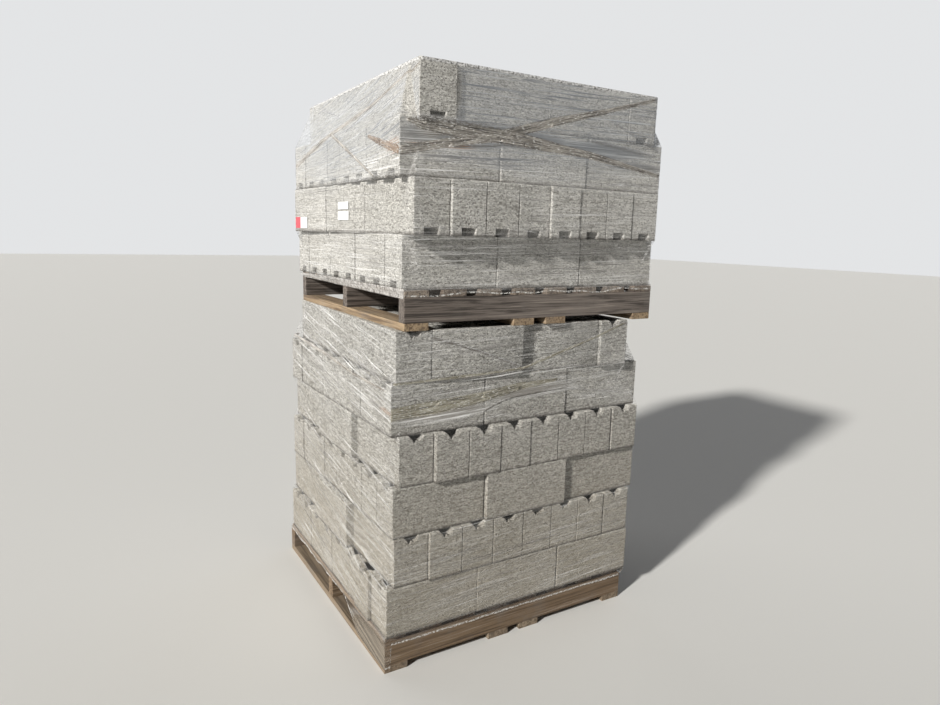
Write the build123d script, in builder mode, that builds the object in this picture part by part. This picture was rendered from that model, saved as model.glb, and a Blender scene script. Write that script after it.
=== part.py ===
from build123d import *
from math import cos, radians, sin
import os

os.makedirs("parts", exist_ok=True)

# Two pallets of hollow concrete blocks, the second standing on the first, each wrapped in film.
# The origin is on the floor below the middle of the tower, X runs along its front,
# Y runs from front to back and Z runs up. Sizes are in millimetres, turns in degrees.

# The block
block_length = 390
block_width = 140
block_height = 190
face_shell = 25
end_web = 28
middle_web = 30
core_taper = 1.2
notch_width = 58
notch_depth = 28
notch_overcut = 10
# Where a notch was knocked out instead of moulded: shares of its half width and of its depth
broken_line = ((-1, 0), (-0.8, 0.6), (-0.4, 0.85), (-0.1, 0.65), (0.3, 1), (0.55, 0.5), (1, 0))

# How the blocks lie in a course
end_gap = 1.5
least_side_gap = 2
blocks_long = 3
# The blocks lying side by side come this much short of the blocks lying end to end
across_shortfall = 32
uneven_most = 5
uneven_step = 1.7

# The pallet
pallet_side = 1165
bearers = 3
bearer_width = 47
bearer_height = 90
board_width = 96
deck_boards = 8
deck_thickness = 25
base_thickness = 27
base_board_places = (0, 3, 4, 7)
lower_deck_setback = 16
upper_deck_setback = 0

# The film
film_gap = 0.6
film_bridge_gap = 1.8
film_wall = 1.2
film_lap = 22
film_held_from = 0.36
film_held_to = 0.64

# Where each pallet and course lies: its middle's shift along X and Y, and its turn
lower_pallet_lie = (-42, 7, 0)
lower_course_lies = (
    (-33, -8, 0),
    (-21, 14, 0.2),
    (-9, 7, 0.5),
    (-1, 23, 0.3),
    (-7, 23, 0.3),
    (-26, 16, -1.8),
)
upper_pallet_lie = (37, 16, -0.5)
upper_course_lies = ((32, 24, 0), (5, -16, 1.7), (9, -16, -0.3), (23, -16, -0.8))

# Courses whose blocks lie from front to back, counted from the pallet up
lower_turned_courses = (2, 4)
upper_turned_courses = (2,)

# How far out of line the blocks stand where it shows: along the front from left to right
front_rows_out = {
    "lower_course_1": (0, 2, 4),
    "lower_course_2": (0, 11, 10, 11, 10, 9, 10, 8),
    "lower_course_3": (2, 18, 0),
    "lower_course_4": (0, 20, 21, 18, 14, 13, 12, 15),
    "lower_course_5": (2, 5, 0),
    "upper_course_1": (0, 3, 1),
    "upper_course_2": (0, 11, 10, 9, 18, 13, 12, 8),
    "upper_course_3": (0, 6, 1),
}
# And along the left side from front to back
left_rows_out = {
    "lower_course_1": (0, 14, 6, 3, 5, 2, 4, 1),
    "lower_course_2": (0, 32, 0),
    "lower_course_4": (0, 26, 1),
    "upper_course_1": (1, 3, 0, 4, 2, 3, 1, 2),
    "upper_course_2": (0, 2, 4),
}

# How far each column of a load's top course is pushed back, from the left to the right
lower_top_slides = (0, -16, 12, 14)
upper_top_slides = (0, 0, 0, 14)

# As many blocks as fit lie across a course, and the gaps between them share what is left
across_reach = blocks_long * (block_length + end_gap) - end_gap - across_shortfall
blocks_across = int((across_reach + least_side_gap) / (block_width + least_side_gap))
side_gap = (across_reach - blocks_across * block_width) / (blocks_across - 1)
pallet_height = base_thickness + bearer_height + deck_thickness
core_length = (block_length - 2 * end_web - middle_web) / 2
core_width = block_width - 2 * face_shell
core_offset = (core_length + middle_web) / 2


def level(lie, height):
    """The level plane that a pallet or a course is drawn on."""
    shift_x, shift_y, turn = lie
    return Plane((shift_x, shift_y, height)).rotated((0, 0, turn))


def unevenness(place):
    """How far the block at this place stands out of line, from nothing to the usual most."""
    return uneven_most * (0.5 + 0.5 * sin(uneven_step * place * place + place))


def row_out(row, number, place):
    """How far one block of a row stands out, from the row's own list or else a little unevenly."""
    return row[number] if number < len(row) else unevenness(place)


def full_course(name, number, turned):
    """The blocks that show in a full course, lying along its X axis, and its hidden middle.

    A block is (x, y, turn, notched end), where the notched end is -1, 1 or 0 for none.
    """
    front_row, left_row = front_rows_out.get(name, ()), left_rows_out.get(name, ())
    blocks = []
    for along in range(blocks_long):
        for across in range(blocks_across):
            end = along - (blocks_long - 1) / 2
            side = across - (blocks_across - 1) / 2
            place = (number * blocks_long + along) * blocks_across + across
            x = end * (block_length + end_gap)
            y = side * (block_width + side_gap)
            facing = 0
            if along == 0:
                facing = -1
                ends, end_number = left_row, across
                if turned:
                    ends, end_number = front_row, blocks_across - 1 - across
                x -= row_out(ends, end_number, place)
            elif along == blocks_long - 1:
                facing = 1
                x += unevenness(place)
            if across == 0:
                y -= unevenness(place + 1) if turned else row_out(front_row, along, place + 1)
            elif across == blocks_across - 1:
                y += row_out(left_row, along, place + 1) if turned else unevenness(place + 1)
            elif not facing:
                continue
            blocks.append((x, y, 0, facing))
    hidden_rows = blocks_across - 2
    hidden_depth = hidden_rows * (block_width + side_gap) - side_gap
    return blocks, (0, 0, block_length, hidden_depth)


def side_columns(slides):
    """The two columns of blocks that lie front to back at the sides of a top course."""
    reach = block_length + end_gap / 2 + side_gap + block_width / 2
    blocks = []
    for x, slide in ((-reach, slides[0]), (reach, slides[-1])):
        for along in range(blocks_long):
            end = along - (blocks_long - 1) / 2
            facing = (end > 0) - (end < 0)
            blocks.append((x, end * (block_length + end_gap) + slide, 90, facing))
    return blocks


def middle_columns(slides, rows):
    """The two columns of blocks between them, which lie along the front."""
    blocks = []
    for facing, slide in ((-1, slides[1]), (1, slides[2])):
        for across in rows:
            side = across - (blocks_across - 1) / 2
            x = facing * (block_length + end_gap) / 2
            blocks.append((x, side * (block_width + side_gap) + slide, 0, 0))
    return blocks


def hidden_top_middle(slides):
    """The plain middle that stands for the blocks that nothing shows in a covered top course."""
    first, second = slides[1], slides[2]
    rows = blocks_across - 2
    depth = rows * (block_width + side_gap) - side_gap - abs(first - second)
    return (0, (first + second) / 2, 2 * block_length + end_gap, depth)


def make_core():
    """The hollow inside half a block, as the lower load has it: a little narrower upwards."""
    with BuildPart() as core:
        with BuildSketch(Plane.XY):
            Rectangle(core_length, core_width)
        extrude(amount=block_height, taper=core_taper)
    return core.part


def make_notch(broken_out):
    """What is missing at the foot of the web at a block's X end, moulded square or knocked out."""
    inner = block_length / 2 - end_web - notch_overcut
    with BuildPart() as notch:
        with BuildSketch(Plane.YZ.offset(inner)):
            if broken_out:
                with BuildLine():
                    points = [(side * notch_width / 2, up * notch_depth) for side, up in broken_line]
                    Polyline(*points, close=True)
                make_face()
            with Locations((0, -notch_overcut / 2 if broken_out else (notch_depth - notch_overcut) / 2)):
                Rectangle(notch_width, notch_overcut + (0 if broken_out else notch_depth))
        extrude(amount=end_web + 2 * notch_overcut)
    return notch.part


def make_course(name, plane, blocks, hidden, notch_on_top):
    """Writes one course: every block is a solid of its own, hollow and notched where it shows."""
    core, notch = make_core(), make_notch(notch_on_top)
    upside_down = Location((0, 0, block_height), (180, 0, 0))
    core_stand, notch_stand = (Location(), upside_down) if notch_on_top else (upside_down, Location())
    with BuildPart(plane) as course:
        with BuildSketch(plane):
            for x, y, turn, facing in blocks:
                with Locations(Location((x, y, 0), (0, 0, turn))):
                    Rectangle(block_length, block_width)
        extrude(amount=block_height)
        core_places = [
            Location((x, y, 0), (0, 0, turn)) * Location((half * core_offset, 0, 0)) * core_stand
            for x, y, turn, facing in blocks
            for half in (-1, 1)
        ]
        with Locations(*core_places):
            add(core, mode=Mode.SUBTRACT)
        notch_places = [
            Location((x, y, 0), (0, 0, turn if facing > 0 else turn + 180)) * notch_stand
            for x, y, turn, facing in blocks
            if facing
        ]
        if notch_places:
            with Locations(*notch_places):
                add(notch, mode=Mode.SUBTRACT)
        if hidden:
            x, y, length, depth = hidden
            with BuildSketch(plane):
                with Locations((x, y)):
                    Rectangle(length, depth)
            extrude(amount=block_height)
    course.part.label = name
    export_step(course.part, f"parts/{name}.step")


def make_pallet(load, lie, height, deck_setback):
    """Writes the bearers, which run along X, and the deck and base boards, which run along Y."""
    bearer_names = ("front", "middle", "back")
    bearer_pitch = (pallet_side - bearer_width) / (bearers - 1)
    for number, place in enumerate(bearer_names):
        with BuildPart() as bearer:
            with BuildSketch(level(lie, height + base_thickness)):
                with Locations((0, (number - (bearers - 1) / 2) * bearer_pitch)):
                    Rectangle(pallet_side, bearer_width)
            extrude(amount=bearer_height)
        bearer.part.label = f"{load}_{place}_bearer"
        export_step(bearer.part, f"parts/{load}_{place}_bearer.step")
    board_pitch = (pallet_side - board_width) / (deck_boards - 1)
    for number in range(deck_boards):
        board_x = (number - (deck_boards - 1) / 2) * board_pitch
        with BuildPart() as deck_board:
            with BuildSketch(level(lie, height + base_thickness + bearer_height)):
                with Locations((board_x, 0)):
                    Rectangle(board_width, pallet_side - 2 * deck_setback)
            extrude(amount=deck_thickness)
        deck_board.part.label = f"{load}_deck_board_{number + 1}"
        export_step(deck_board.part, f"parts/{load}_deck_board_{number + 1}.step")
    for number, place in enumerate(base_board_places):
        board_x = (place - (deck_boards - 1) / 2) * board_pitch
        with BuildPart() as base_board:
            with BuildSketch(level(lie, height)):
                with Locations((board_x, 0)):
                    Rectangle(board_width, pallet_side)
            extrude(amount=base_thickness)
        base_board.part.label = f"{load}_base_board_{number + 1}"
        export_step(base_board.part, f"parts/{load}_base_board_{number + 1}.step")


def block_reach(blocks):
    """The lowest and highest X and Y that a course's blocks reach on its own plane."""
    xs, ys = [], []
    for x, y, turn, facing in blocks:
        length, width = (block_width, block_length) if turn else (block_length, block_width)
        xs += [x - length / 2, x + length / 2]
        ys += [y - width / 2, y + width / 2]
    return min(xs), min(ys), max(xs), max(ys)


def outline(lie, reach, out):
    """The four corners of a pallet or course, each way out by the same distance.

    They start at the front left corner and go round to the back left one.
    """
    shift_x, shift_y, turn = lie
    low_x, low_y, high_x, high_y = reach
    low_x, low_y, high_x, high_y = low_x - out, low_y - out, high_x + out, high_y + out
    along, across = cos(radians(turn)), sin(radians(turn))
    local = ((low_x, low_y), (high_x, low_y), (high_x, high_y), (low_x, high_y))
    turned = [(shift_x + x * along - y * across, shift_y + x * across + y * along) for x, y in local]
    front_first = min(range(4), key=lambda corner: turned[corner][0] + turned[corner][1])
    return turned[front_first:] + turned[:front_first]


def around_both(first, second):
    """The four corners of a shape that holds two outlines, with a little room to bridge them."""
    ways = ((-1, -1), (1, -1), (1, 1), (-1, 1))
    return [
        tuple(way * (max(way * one, way * other) + film_bridge_gap) for way, one, other in zip(*corner))
        for corner in zip(ways, first, second)
    ]


def film_sections(pallet_lie, pallet_top, courses, out):
    """Where the film hangs: each section's height and corners, from the pallet's deck up."""
    half = pallet_side / 2
    below = outline(pallet_lie, (-half, -half, half, half), out)
    sections = [(pallet_top - deck_thickness, below)]
    height = pallet_top
    for lie, reach in courses:
        here = outline(lie, reach, out)
        sections.append((height, around_both(below, here)))
        sections.append((height + film_held_from * block_height, here))
        sections.append((height + film_held_to * block_height, here))
        height += block_height
        below = here
    return sections, height


def hung(sections):
    """The solid inside a film that hangs through these sections, with two flat folds to a side."""
    faces = []
    for (low, below), (high, above) in zip(sections, sections[1:]):
        for corner in range(4):
            following = (corner + 1) % 4
            near, far = (*below[corner], low), (*below[following], low)
            near_up, far_up = (*above[corner], high), (*above[following], high)
            faces.append(Face(Wire.make_polygon([near, far, far_up])))
            faces.append(Face(Wire.make_polygon([near, far_up, near_up])))
    for height, corners in (sections[0], sections[-1]):
        faces.append(Face(Wire.make_polygon([(*corner, height) for corner in corners])))
    return Solid(Shell(faces))


def make_film(name, pallet_lie, pallet_top, courses, laps_over_top):
    """Writes the film round one load as a thin sleeve that bridges from course to course."""
    inner, height = film_sections(pallet_lie, pallet_top, courses, film_gap)
    outer, height = film_sections(pallet_lie, pallet_top, courses, film_gap + film_wall)
    if laps_over_top:
        inner.append((height + film_gap, inner[-1][1]))
        outer.append((height + film_gap + film_wall, outer[-1][1]))
    else:
        inner.append((height, inner[-1][1]))
        outer.append((height - film_gap, outer[-1][1]))
    with BuildPart() as film:
        add(hung(outer))
        add(hung(inner), mode=Mode.SUBTRACT)
        if laps_over_top:
            with BuildSketch(Plane.XY.offset(height)):
                with BuildLine():
                    Polyline(*outer[-1][1], close=True)
                make_face()
                offset(amount=-film_lap, kind=Kind.INTERSECTION, mode=Mode.REPLACE)
            extrude(amount=film_gap + film_wall, mode=Mode.SUBTRACT)
    film.part.label = name
    export_step(film.part, f"parts/{name}.step")


def make_load(load, pallet_lie, base, deck_setback, lies, turned_courses, slides, covered):
    """Writes one pallet, its courses and its film."""
    make_pallet(load, pallet_lie, base, deck_setback)
    pallet_top = base + pallet_height
    height = pallet_top
    wrapped = []
    for number, lie in enumerate(lies, start=1):
        name = f"{load}_course_{number}"
        if number < len(lies):
            if number in turned_courses:
                lie = (lie[0], lie[1], lie[2] + 90)
            blocks, hidden = full_course(name, number, number in turned_courses)
            make_course(name, level(lie, height), blocks, hidden, covered)
        elif covered:
            blocks = side_columns(slides) + middle_columns(slides, (0, blocks_across - 1))
            make_course(name, level(lie, height), blocks, hidden_top_middle(slides), True)
        else:
            sides = side_columns(slides)
            middle = middle_columns(slides, range(blocks_across))
            make_course(f"{name}_sides", level(lie, height), sides, None, False)
            make_course(f"{name}_middle", level(lie, height), middle, None, False)
            blocks = sides + middle
        wrapped.append((lie, block_reach(blocks)))
        height += block_height
    make_film(f"{load}_film", pallet_lie, pallet_top, wrapped, not covered)
    return height


upper_base = make_load(
    "lower",
    lower_pallet_lie,
    0,
    lower_deck_setback,
    lower_course_lies,
    lower_turned_courses,
    lower_top_slides,
    True,
)
make_load(
    "upper",
    upper_pallet_lie,
    upper_base,
    upper_deck_setback,
    upper_course_lies,
    upper_turned_courses,
    upper_top_slides,
    False,
)
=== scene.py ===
import math

import bmesh
import bpy
import numpy as np
from mathutils import Matrix, Vector, noise


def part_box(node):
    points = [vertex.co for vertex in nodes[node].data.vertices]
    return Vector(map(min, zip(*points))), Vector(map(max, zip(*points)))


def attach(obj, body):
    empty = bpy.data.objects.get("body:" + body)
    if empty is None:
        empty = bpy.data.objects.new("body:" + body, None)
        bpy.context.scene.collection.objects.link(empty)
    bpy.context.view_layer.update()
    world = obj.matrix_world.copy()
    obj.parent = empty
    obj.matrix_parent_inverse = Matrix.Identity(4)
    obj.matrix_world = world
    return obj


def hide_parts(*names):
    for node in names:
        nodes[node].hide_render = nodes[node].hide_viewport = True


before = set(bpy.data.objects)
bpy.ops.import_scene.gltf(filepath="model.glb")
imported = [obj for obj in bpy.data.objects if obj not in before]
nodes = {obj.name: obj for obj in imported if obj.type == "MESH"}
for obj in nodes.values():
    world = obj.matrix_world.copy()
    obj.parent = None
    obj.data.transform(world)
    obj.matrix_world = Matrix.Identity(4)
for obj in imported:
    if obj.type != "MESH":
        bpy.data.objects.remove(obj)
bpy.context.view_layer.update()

collection = bpy.context.scene.collection
full_turn = 2 * math.pi

# The camera, placed and turned as in the photo
camera_place = (-1.5609, -2.6674, 1.6215)
camera_yaw, camera_pitch, camera_roll = 31.2973, -9.9119, 1.5357
camera_lens, sensor_width = 25.93, 36


def add_camera():
    yaw, pitch, roll = (math.radians(angle) for angle in (camera_yaw, camera_pitch, camera_roll))
    ahead = Vector((math.sin(yaw) * math.cos(pitch), math.cos(yaw) * math.cos(pitch), math.sin(pitch)))
    level_right = Vector((math.cos(yaw), -math.sin(yaw), 0))
    level_up = level_right.cross(ahead)
    right = level_right * math.cos(roll) + level_up * math.sin(roll)
    up = level_up * math.cos(roll) - level_right * math.sin(roll)
    turn = Matrix((right, up, -ahead)).transposed().to_4x4()
    data = bpy.data.cameras.new("camera")
    data.sensor_width = sensor_width
    data.lens = camera_lens
    camera = bpy.data.objects.new("camera", data)
    camera.matrix_world = Matrix.Translation(camera_place) @ turn
    collection.objects.link(camera)
    bpy.context.scene.camera = camera


add_camera()


# Light
def sun(name, strength, softness, azimuth, elevation, colour):
    """A distant softbox. Azimuth 0 shines along +Y, onto the front, and 90 along +X, onto the left."""
    data = bpy.data.lights.new(name, "SUN")
    data.energy = strength
    data.angle = math.radians(softness)
    data.color = colour
    lamp = bpy.data.objects.new(name, data)
    azimuth, elevation = math.radians(azimuth), math.radians(elevation)
    level = math.cos(elevation)
    way = Vector((math.sin(azimuth) * level, math.cos(azimuth) * level, -math.sin(elevation)))
    lamp.rotation_euler = way.to_track_quat("-Z", "Y").to_euler()
    collection.objects.link(lamp)


def studio_world(light, backdrop_shade):
    """A dim light from all round, and a pale backdrop for the camera and for what is clear or shiny."""
    world = bpy.data.worlds.new("studio")
    bpy.context.scene.world = world
    world.use_nodes = True
    tree = world.node_tree
    background = tree.nodes["Background"]
    background.inputs["Strength"].default_value = light
    light_path = tree.nodes.new("ShaderNodeLightPath")
    seen = light_path.outputs["Is Camera Ray"]
    for ray in ("Is Glossy Ray", "Is Transmission Ray"):
        either = tree.nodes.new("ShaderNodeMath")
        either.operation = "MAXIMUM"
        tree.links.new(seen, either.inputs[0])
        tree.links.new(light_path.outputs[ray], either.inputs[1])
        seen = either.outputs[0]
    backdrop = tree.nodes.new("ShaderNodeBackground")
    backdrop.inputs["Color"].default_value = (*backdrop_shade, 1)
    chosen = tree.nodes.new("ShaderNodeMixShader")
    for given, socket in zip((seen, background.outputs[0], backdrop.outputs[0]), chosen.inputs):
        tree.links.new(given, socket)
    tree.links.new(chosen.outputs[0], tree.nodes["World Output"].inputs["Surface"])


sun("key_from_the_left", strength=4.25, softness=4, azimuth=71, elevation=26, colour=(1.0, 0.97, 0.91))
sun("fill_from_the_right", strength=0.42, softness=60, azimuth=-105, elevation=30, colour=(0.93, 0.96, 1.0))
sun("fill_from_the_back", strength=0.7, softness=60, azimuth=165, elevation=25, colour=(1.0, 0.98, 0.95))
studio_world(light=0.17, backdrop_shade=(0.77, 0.78, 0.79))
bpy.context.scene.view_settings.view_transform = "Standard"


# Small helpers for materials
def feed(tree, value, socket):
    """Gives a socket a link or a plain value."""
    if isinstance(value, bpy.types.NodeSocket):
        tree.links.new(value, socket)
    else:
        socket.default_value = value


def math_node(tree, operation, first, second=0.5, clamp=False):
    node = tree.nodes.new("ShaderNodeMath")
    node.operation = operation
    node.use_clamp = clamp
    for value, socket in zip((first, second), node.inputs):
        feed(tree, value, socket)
    return node.outputs[0]


def times(tree, first, second):
    return math_node(tree, "MULTIPLY", first, second)


def plus(tree, first, second, clamp=False):
    return math_node(tree, "ADD", first, second, clamp)


def minus(tree, first, second):
    return math_node(tree, "SUBTRACT", first, second)


def summed(tree, parts):
    """Adds masks up, each times its share."""
    total = 0.0
    for mask, share in parts:
        total = plus(tree, total, times(tree, mask, share))
    return total


def ramp(tree, value, low, high, to_low=0.0, to_high=1.0):
    """A smooth step from one value to another."""
    node = tree.nodes.new("ShaderNodeMapRange")
    node.interpolation_type = "SMOOTHSTEP"
    given = {"Value": value, "From Min": low, "From Max": high, "To Min": to_low, "To Max": to_high}
    for name, amount in given.items():
        feed(tree, amount, node.inputs[name])
    return node.outputs[0]


def mix(tree, factor, first, second):
    """One colour over another. The node's colours are sockets 6 and 7, and its result is output 2."""
    node = tree.nodes.new("ShaderNodeMix")
    node.data_type = "RGBA"
    feed(tree, factor, node.inputs["Factor"])
    for value, socket in ((first, node.inputs[6]), (second, node.inputs[7])):
        feed(tree, (*value, 1) if isinstance(value, tuple) else value, socket)
    return node.outputs[2]


def painted(tree, colour, layers):
    """Lays each shade over the colour, as much as its mask says."""
    for mask, shade in layers:
        colour = mix(tree, mask, colour, shade)
    return colour


def place(tree, vector, stretch, turn=(0, 0, 0), shift=(0, 0, 0)):
    node = tree.nodes.new("ShaderNodeMapping")
    tree.links.new(vector, node.inputs["Vector"])
    node.inputs["Scale"].default_value = stretch
    node.inputs["Rotation"].default_value = turn
    node.inputs["Location"].default_value = shift
    return node.outputs[0]


def grain(tree, vector, scale, detail, roughness, distortion=0.0):
    node = tree.nodes.new("ShaderNodeTexNoise")
    tree.links.new(vector, node.inputs["Vector"])
    node.inputs["Scale"].default_value = scale
    node.inputs["Detail"].default_value = detail
    node.inputs["Roughness"].default_value = roughness
    node.inputs["Distortion"].default_value = distortion
    return node.outputs["Fac"]


def cells(tree, vector, scale):
    node = tree.nodes.new("ShaderNodeTexVoronoi")
    tree.links.new(vector, node.inputs["Vector"])
    node.inputs["Scale"].default_value = scale
    return node.outputs


def bump(tree, height, distance, strength):
    node = tree.nodes.new("ShaderNodeBump")
    tree.links.new(height, node.inputs["Height"])
    node.inputs["Distance"].default_value = distance
    node.inputs["Strength"].default_value = strength
    return node.outputs[0]


def apart(tree, vector):
    """The X, Y and Z of a vector."""
    node = tree.nodes.new("ShaderNodeSeparateXYZ")
    tree.links.new(vector, node.inputs[0])
    return node.outputs


def new_material(name, roughness):
    material = bpy.data.materials.new(name)
    material.use_nodes = True
    shader = material.node_tree.nodes["Principled BSDF"]
    shader.inputs["Roughness"].default_value = roughness
    return material, material.node_tree, shader


def object_place(tree):
    return tree.nodes.new("ShaderNodeTexCoord").outputs["Object"]


def attribute(tree, name):
    node = tree.nodes.new("ShaderNodeAttribute")
    node.attribute_name = name
    return node.outputs["Fac"]


def new_group(name, inputs, outputs):
    """An empty shader group with its sockets, each given as (name, kind), and its two end nodes."""
    tree = bpy.data.node_groups.new(name, "ShaderNodeTree")
    for way, sockets in (("INPUT", inputs), ("OUTPUT", outputs)):
        for socket, kind in sockets:
            tree.interface.new_socket(socket, in_out=way, socket_type="NodeSocket" + kind)
    return tree, tree.nodes.new("NodeGroupInput").outputs, tree.nodes.new("NodeGroupOutput").inputs


# Concrete
def concrete_material():
    """Coarse pressed concrete: sandy grains, level drag marks, pits and a tone for each block, with painted
    shade in the pits and along the foot of each course, and a painted highlight with pale dust along its top
    edge.
    """
    material, tree, shader = new_material("pressed_concrete", 0.93)
    where = object_place(tree)
    height_up = apart(tree, where)[2]
    tone = attribute(tree, "tone")
    up_share = attribute(tree, "up_share")
    fine = grain(tree, where, 420, 4, 0.75)
    sandy = grain(tree, place(tree, where, (0.75, 0.75, 1.25)), 165, 3, 0.75)
    speckle = grain(tree, place(tree, where, (0.8, 0.8, 1.3)), 95, 3, 0.8)
    dragged = grain(tree, place(tree, where, (14, 14, 170)), 1, 4, 0.72)
    dashes = grain(tree, place(tree, where, (38, 38, 125)), 1, 3, 0.7)
    clouds = grain(tree, where, 4.0, 4, 0.6)
    pits = ramp(tree, cells(tree, place(tree, where, (0.8, 0.8, 1.4)), 105)["Distance"], 0.14, 0.30)
    grit = tree.nodes.new("ShaderNodeSeparateColor")
    tree.links.new(cells(tree, place(tree, where, (0.8, 0.8, 1.2)), 215)["Color"], grit.inputs[0])
    grit = grit.outputs[0]

    # The lower load's blocks are coarser than the upper load's
    coarser = ramp(tree, height_up, 1.45, 1.25, 0.45, 1.0)

    def speck(level, low, high, most):
        return times(tree, ramp(tree, level, low, high, 0.0, most), coarser)

    # Painted highlight mixed with pale dust: a lighter line along the top edge of each course
    rim = times(tree, ramp(tree, up_share, 0.965, 0.99), ramp(tree, speckle, 0.42, 0.58))
    # Painted shadow: a dark line along the foot of each course
    foot = times(tree, ramp(tree, up_share, 0.080, 0.01), ramp(tree, speckle, 0.75, 0.45))
    pale_sand, pale_grit, pale_dash = (0.86, 0.845, 0.80), (0.90, 0.885, 0.84), (0.88, 0.865, 0.82)
    dark_sand, dark_grit, dark_dash = (0.23, 0.22, 0.20), (0.20, 0.19, 0.17), (0.19, 0.18, 0.165)
    colour = mix(tree, ramp(tree, clouds, 0.3, 0.7), (0.58, 0.575, 0.56), (0.70, 0.69, 0.67))
    colour = painted(tree, colour, (
        (ramp(tree, tone, 0, 1, 0.0, 0.50), (0.44, 0.43, 0.41)),
        (ramp(tree, sandy, 0.50, 0.66, 0.0, 0.75), pale_sand),
        (ramp(tree, grit, 0.62, 1.0, 0.0, 0.70), pale_grit),
        (ramp(tree, dragged, 0.50, 0.36, 0.0, 0.60), (0.29, 0.28, 0.255)),
        (speck(dashes, 0.53, 0.62, 0.54), pale_dash),
        (speck(speckle, 0.54, 0.64, 0.30), pale_grit),
        (speck(dashes, 0.48, 0.38, 0.64), dark_dash),
        (speck(speckle, 0.46, 0.36, 0.42), dark_grit),
        (ramp(tree, sandy, 0.47, 0.34, 0.0, 0.75), dark_sand),
        (ramp(tree, grit, 0.30, 0.0, 0.0, 0.75), dark_grit),
        # painted shade: the pits are painted near black
        (ramp(tree, pits, 0, 1, 0.75, 0.0), (0.13, 0.12, 0.11)),
        (ramp(tree, height_up, 1.2, 0.10, 0.0, 0.60), (0.41, 0.355, 0.27)),
        # painted highlight and pale dust along the top edge of each course
        (times(tree, rim, 0.65), (0.88, 0.86, 0.81)),
        # painted shadow along the foot of each course
        (times(tree, foot, 0.90), (0.11, 0.10, 0.09)),
    ))
    tree.links.new(colour, shader.inputs["Base Color"])
    shader.inputs["Specular IOR Level"].default_value = 0.25
    depths = ((fine, 0.3), (sandy, 1.0), (pits, 0.7), (dragged, 0.9), (speckle, 1.2), (dashes, 1.2))
    height = times(tree, summed(tree, depths), coarser)
    tree.links.new(bump(tree, height, 0.0075, 1.0), shader.inputs["Normal"])
    return material


def block_look():
    """Stores a tone for each block between 0 and 1, and how far up its course each point lies."""
    tree = bpy.data.node_groups.new("block_look", "GeometryNodeTree")
    tree.interface.new_socket("Geometry", in_out="INPUT", socket_type="NodeSocketGeometry")
    tree.interface.new_socket("Geometry", in_out="OUTPUT", socket_type="NodeSocketGeometry")
    seed = tree.interface.new_socket("Seed", in_out="INPUT", socket_type="NodeSocketInt")
    low = tree.interface.new_socket("Low", in_out="INPUT", socket_type="NodeSocketFloat")
    high = tree.interface.new_socket("High", in_out="INPUT", socket_type="NodeSocketFloat")
    inside, outside = tree.nodes.new("NodeGroupInput"), tree.nodes.new("NodeGroupOutput")

    def stored(geometry, name, value):
        store = tree.nodes.new("GeometryNodeStoreNamedAttribute")
        store.data_type = "FLOAT"
        store.domain = "POINT"
        store.inputs["Name"].default_value = name
        tree.links.new(geometry, store.inputs["Geometry"])
        tree.links.new(value, store.inputs["Value"])
        return store.outputs["Geometry"]

    island = tree.nodes.new("GeometryNodeInputMeshIsland")
    dice = tree.nodes.new("FunctionNodeRandomValue")
    dice.data_type = "FLOAT"
    tree.links.new(island.outputs["Island Index"], dice.inputs["ID"])
    tree.links.new(inside.outputs["Seed"], dice.inputs["Seed"])
    height_up = apart(tree, tree.nodes.new("GeometryNodeInputPosition").outputs[0])[2]
    share = tree.nodes.new("ShaderNodeMapRange")
    tree.links.new(height_up, share.inputs["Value"])
    tree.links.new(inside.outputs["Low"], share.inputs["From Min"])
    tree.links.new(inside.outputs["High"], share.inputs["From Max"])
    toned = stored(inside.outputs["Geometry"], "tone", dice.outputs[1])
    tree.links.new(stored(toned, "up_share", share.outputs[0]), outside.inputs["Geometry"])
    return tree, seed.identifier, low.identifier, high.identifier


def worn_edges(node, width):
    """Joins a CAD node's triangles into flat faces and takes the sharpness off its edges."""
    weld = node.modifiers.new("weld", "WELD")
    weld.merge_threshold = 0.00002
    flat = node.modifiers.new("flat", "DECIMATE")
    flat.decimate_type = "DISSOLVE"
    flat.angle_limit = math.radians(0.5)
    edge = node.modifiers.new("edge", "BEVEL")
    edge.width = width
    edge.segments = 2
    edge.limit_method = "ANGLE"
    edge.angle_limit = math.radians(40)


def coat(node, material):
    """Gives a CAD node one material all over."""
    node.data.materials.clear()
    node.data.materials.append(material)


concrete_wear, timber_wear = 0.0025, 0.0018
concrete = concrete_material()
look_group, seed_input, low_input, high_input = block_look()
course_names = [name for name in nodes if "_course_" in name]
for number, name in enumerate(sorted(course_names)):
    node = nodes[name]
    worn_edges(node, concrete_wear)
    low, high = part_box(name)
    look = node.modifiers.new("look", "NODES")
    look.node_group = look_group
    look[seed_input] = number
    look[low_input] = low.z
    look[high_input] = high.z
    coat(node, concrete)


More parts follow.
